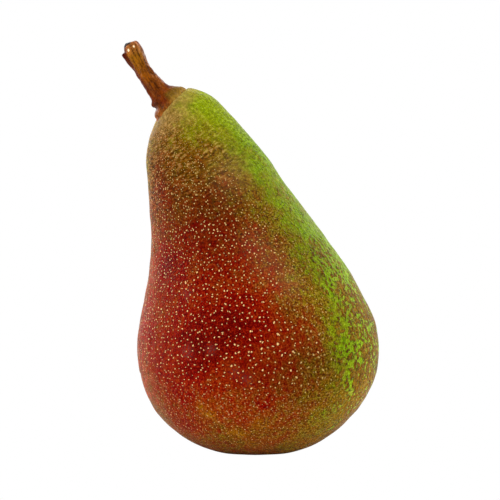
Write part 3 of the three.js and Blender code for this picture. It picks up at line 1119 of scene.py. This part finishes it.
def stem_material():
    g = Graph(bpy.data.materials.new("stem_wood"))
    place = g.place()
    coil = g.field("coil", "Vector")
    above = g.field("above")
    side = g.field("side")
    fibres = g.uneven(g.stretched(coil, 1, 1, 0.16), 0.75, 3, 0.6)
    patches = g.uneven(place, 2.2, 3, 0.6)
    grain = g.uneven(place, 0.5, 2, 0.6)
    # The stem's ramp paints shade in the crease above the rim, and partly highlight at the end
    base = g.ramp(g.total(above, g.times(patches, 0.06)), BARK_COLOURS)
    base = g.mix(g.times(g.smooth(fibres, 0.1, 0.7), 0.35), base, LIGHT_FIBRE)
    base = g.mix(g.times(g.smooth(fibres, 0.0, -0.5), 0.8), base, DARK_FIBRE)
    base = g.scaled(base, g.total(g.weighted((patches, 0.8), (grain, 0.5)), 0.86))
    # Painted shade: the stem darker down its left and right sides, as seen from the front
    shaded_edges = g.math("MAXIMUM", g.smooth(side, -0.45, -0.9), g.times(g.smooth(side, 0.72, 0.95), 0.7))
    edge = g.times(shaded_edges, g.smooth(above, 0.08, 0.2))
    base = g.mix(g.times(edge, 0.8), base, EDGE_SHADE)

    # Silvery bark along the right, partly a painted sheen, the fleshy collar at its foot, the torn scale, the
    # painted glints and the dark end
    silver = g.times(g.smooth(side, 0.35, 0.75), g.smooth(above, 0.2, 0.4), g.smooth(patches, -0.3, 0.5))
    base = g.mix(g.times(silver, g.smooth(grain, -0.2, 0.4), 0.6), base, SILVER_BARK_AND_SHEEN)
    collar = g.times(g.smooth(above, 0.19, 0.1), g.smooth(side, 0.0, 0.5))
    flesh = g.mix(g.smooth(above, 0.09, -0.02), UPPER_COLLAR, LOWER_COLLAR)
    base = g.mix(collar, base, g.scaled(flesh, g.ahead(grain, 0.7, 1.0)))
    base = g.mix(g.smooth(g.field("flake"), 0.15, 0.6), base, FLAKE)
    base = g.mix(g.smooth(g.field("glint"), 0.45, 0.8), base, GLINT_COLOUR)
    colour = g.mix(g.smooth(g.field("scar"), 0.4, 0.62), base, SCAR)
    relief = g.weighted((fibres, 1.0), (patches, 0.5), (grain, 0.4))
    return g.finish(colour, g.ahead(patches, 0.1, 0.3), relief, 0.2, Specular_IOR_Level=0.035)


def calyx_material():
    g = Graph(bpy.data.materials.new("dry_calyx"))
    place = g.place()
    wrinkles = g.uneven(g.stretched(place, 1, 1, 0.35), 0.5, 3, 0.65)
    patches = g.uneven(place, 1.6, 3, 0.6)
    along = g.weighted((g.field("share"), 1.0), (patches, 0.5), (wrinkles, 0.25))
    base = g.ramp(along, CALYX_COLOURS)
    colour = g.mix(g.times(g.smooth(wrinkles, 0.1, 0.6), 0.6), base, WRINKLE_CREST)
    relief = g.weighted((wrinkles, 1.0), (patches, 0.6))
    return g.finish(colour, g.ahead(patches, 0.1, 0.8), relief, 0.15, Specular_IOR_Level=0.25)


def white_floor():
    """A white floor that the camera sees as plain white, so that it has no edge."""
    ways = [(-1, -1), (1, -1), (1, 1), (-1, 1)]
    mesh = bpy.data.meshes.new("floor")
    mesh.from_pydata([(x * FLOOR_REACH, y * FLOOR_REACH, 0) for x, y in ways], [], [(0, 1, 2, 3)])
    floor = bpy.data.objects.new("floor", mesh)
    bpy.context.scene.collection.objects.link(floor)
    g = Graph(bpy.data.materials.new("white_floor"))
    seen = g.add("LightPath").outputs["Is Camera Ray"]
    card = g.add("BsdfDiffuse", {"Color": (0.92, 0.92, 0.92, 1)})
    glow = g.add("Emission", {"Color": (1, 1, 1, 1), "Strength": 1.0})
    both = g.add("MixShader", {0: seen, 1: card.outputs[0], 2: glow.outputs[0]})
    g.add("OutputMaterial", {"Surface": both.outputs[0]})
    mesh.materials.append(g.owner)


def surroundings():
    """Soft white light from all round, dimmer on the camera's side and brightest behind the pear's left."""
    world = bpy.data.worlds.new("studio")
    bpy.context.scene.world = world
    g = Graph(world)
    x, y, z = g.add("SeparateXYZ", {0: g.add("TexCoord").outputs["Generated"]}).outputs
    sides = g.times(g.smooth(y, -0.95, 0.0), 0.66)
    above = g.times(g.smooth(z, 0.0, 1.0), g.ahead(g.smooth(x, -0.5, 0.6), 1.0, 0.4))
    left = g.times(g.smooth(x, -0.2, -0.8), g.smooth(y, 0.05, 0.6), 4.6)
    back = g.times(g.smooth(y, 0.55, 1.0), 1.8)
    level = g.total(sides, above, left, back, 0.38)
    seen = g.add("LightPath").outputs["Is Camera Ray"]
    sky = g.add("Background", {"Color": (1, 1, 1, 1), "Strength": g.between(seen, level, 1.0)})
    g.add("OutputWorld", {0: sky.outputs[0]})


def aimed(thing, place, aim):
    """Puts a lamp or a camera at its place, turned towards its aim."""
    thing.location = place
    thing.rotation_euler = (Vector(aim) - Vector(place)).to_track_quat("-Z", "Y").to_euler()
    bpy.context.scene.collection.objects.link(thing)


def softbox(name, place, aim, size, watts):
    light = bpy.data.lights.new(name, "AREA")
    light.shape = "SQUARE"
    light.size = size
    light.energy = watts
    aimed(bpy.data.objects.new(name, light), place, aim)


def camera():
    """The photograph's view, slightly from above."""
    data = bpy.data.cameras.new("camera")
    data.sensor_width = CAMERA["sensor"]
    data.lens = CAMERA["lens"]
    data.clip_start = 0.01
    elevation = np.radians(CAMERA["elevation"])
    back = CAMERA["distance"] * np.cos(elevation)
    rise = CAMERA["above"] + CAMERA["distance"] * np.sin(elevation)
    view = bpy.data.objects.new("camera", data)
    aimed(view, Vector((FOOT_X, -back, rise)) * MM, Vector(AIM) * MM)
    bpy.context.scene.camera = view


def dress(piece, node, material):
    piece.data.materials.append(material)
    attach(piece, "root")
    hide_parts(node)


def main():
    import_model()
    bpy.context.scene.view_settings.view_transform = "Standard"
    camera()
    white_floor()
    surroundings()
    for box in SOFTBOXES:
        softbox(*box)
    dress(make_fruit(), "fruit", skin_material())
    dress(make_stem(), "stem", stem_material())
    dress(make_calyx(), "calyx", calyx_material())


main()
